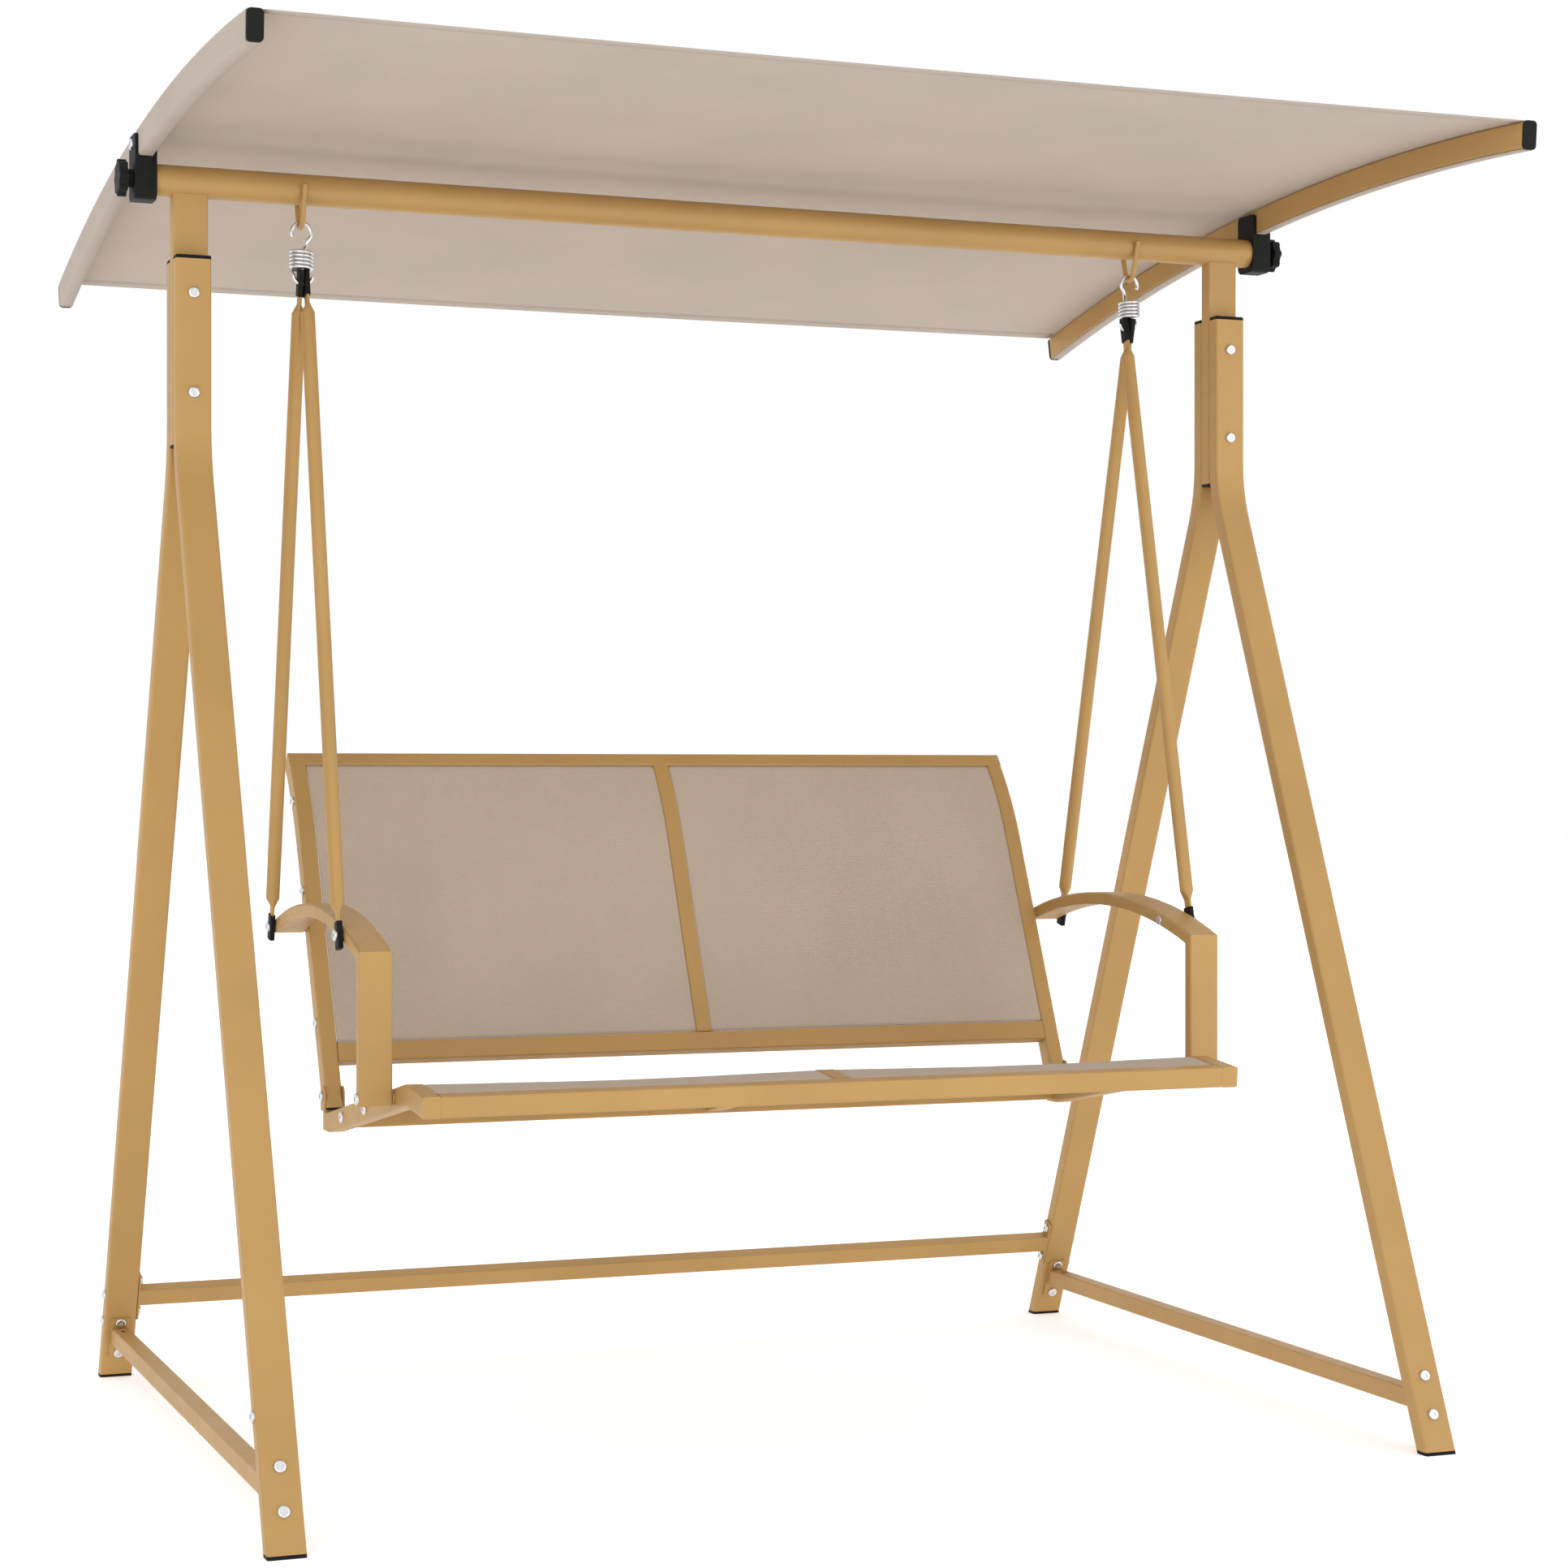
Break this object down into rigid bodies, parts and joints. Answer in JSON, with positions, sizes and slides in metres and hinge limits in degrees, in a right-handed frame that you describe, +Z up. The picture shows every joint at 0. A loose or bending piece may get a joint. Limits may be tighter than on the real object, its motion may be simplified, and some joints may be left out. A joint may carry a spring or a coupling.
{
  "type": "canopy swing",
  "caption": "Two-seat garden swing with an A-frame tube stand, a tilting fabric canopy, and a sling bench with armrests hung by rod hangers from two coil springs.",
  "frame": {"origin": "on the floor, under the middle of the swing's overall footprint", "axes": "+Z up, -Y the side a person sits down from, +X along the top beam to the swing's right side as seen from the front"},
  "size_m": [1.659, 1.3446, 1.6867],
  "materials": {
    "powder_coated_steel": "satin gold-brown powder coat",
    "black_plastic": "fine-grained moulded plastic",
    "zinc_plated_steel": "bright zinc plate",
    "sling_mesh": "woven coated mesh",
    "canopy_cloth": "plain-woven canopy cloth"
  },
  "bodies": {
    "stand": {"left_front_leg": "powder_coated_steel", "right_front_leg": "powder_coated_steel", "left_rear_leg": "powder_coated_steel", "right_rear_leg": "powder_coated_steel", "leg_top_caps": "black_plastic", "foot_caps": "black_plastic", "top_beam": "powder_coated_steel", "left_post": "powder_coated_steel", "right_post": "powder_coated_steel", "post_plugs": "black_plastic", "hanger_loops": "powder_coated_steel", "left_side_brace": "powder_coated_steel", "right_side_brace": "powder_coated_steel", "rear_crossbar": "powder_coated_steel", "post_bolts": "zinc_plated_steel", "brace_bolts": "zinc_plated_steel", "leg_side_bolts": "zinc_plated_steel"},
    "canopy": {"left_canopy_bracket": "black_plastic", "right_canopy_bracket": "black_plastic", "left_canopy_bar": "powder_coated_steel", "right_canopy_bar": "powder_coated_steel", "canopy_bar_plugs": "black_plastic", "bracket_screws": "zinc_plated_steel", "canopy_fabric": "canopy_cloth"},
    "left_knob": {"left_clamp_knob": "black_plastic"},
    "right_knob": {"right_clamp_knob": "black_plastic"},
    "springs": {"left_spring": "zinc_plated_steel", "right_spring": "zinc_plated_steel"},
    "seat": {"left_front_hanger": "powder_coated_steel", "right_front_hanger": "powder_coated_steel", "left_rear_hanger": "powder_coated_steel", "right_rear_hanger": "powder_coated_steel", "hanger_sleeves": "black_plastic", "front_hanger_bolts": "zinc_plated_steel", "rear_hanger_bolts": "zinc_plated_steel", "left_armrest": "powder_coated_steel", "right_armrest": "powder_coated_steel", "armrest_spacers": "powder_coated_steel", "arm_foot_bolts": "zinc_plated_steel", "left_seat_side_rail": "powder_coated_steel", "right_seat_side_rail": "powder_coated_steel", "seat_front_rail": "powder_coated_steel", "seat_rear_rail": "powder_coated_steel", "seat_centre_bar": "powder_coated_steel", "left_seat_sling": "sling_mesh", "right_seat_sling": "sling_mesh", "left_back_side_rail": "powder_coated_steel", "right_back_side_rail": "powder_coated_steel", "back_top_rail": "powder_coated_steel", "back_bottom_rail": "powder_coated_steel", "back_centre_bar": "powder_coated_steel", "left_back_sling": "sling_mesh", "right_back_sling": "sling_mesh", "back_rail_plugs": "black_plastic", "back_hinge_brackets": "powder_coated_steel", "back_hinge_bolts": "zinc_plated_steel", "rail_bolts": "zinc_plated_steel"}
  },
  "joints": [
    {"name": "canopy_tilt", "type": "hinge", "parent": "stand", "child": "canopy", "pos_m": [0, 0.01424, 1.6127], "axis": [1, 0, 0], "range_deg": [-30, 30]},
    {"name": "left_knob_turn", "type": "hinge", "parent": "stand", "child": "left_knob", "pos_m": [-0.8185, 0.01424, 1.6127], "axis": [-1, 0, 0], "range_deg": [0, 360]},
    {"name": "right_knob_turn", "type": "hinge", "parent": "stand", "child": "right_knob", "pos_m": [0.8185, 0.01424, 1.6127], "axis": [1, 0, 0], "range_deg": [0, 360]},
    {"name": "seat_swing", "type": "hinge", "parent": "stand", "child": "springs", "pos_m": [0, 0.01424, 1.57045], "axis": [1, 0, 0], "range_deg": [-25, 25]},
    {"name": "spring_bounce", "type": "slide", "parent": "springs", "child": "seat", "axis": [0, 0, 1], "range_m": [-0.025, 0], "stiffness_N_per_m": 78000, "springref_m": 0.0025, "deforming": ["left_spring", "right_spring"]}
  ]
}
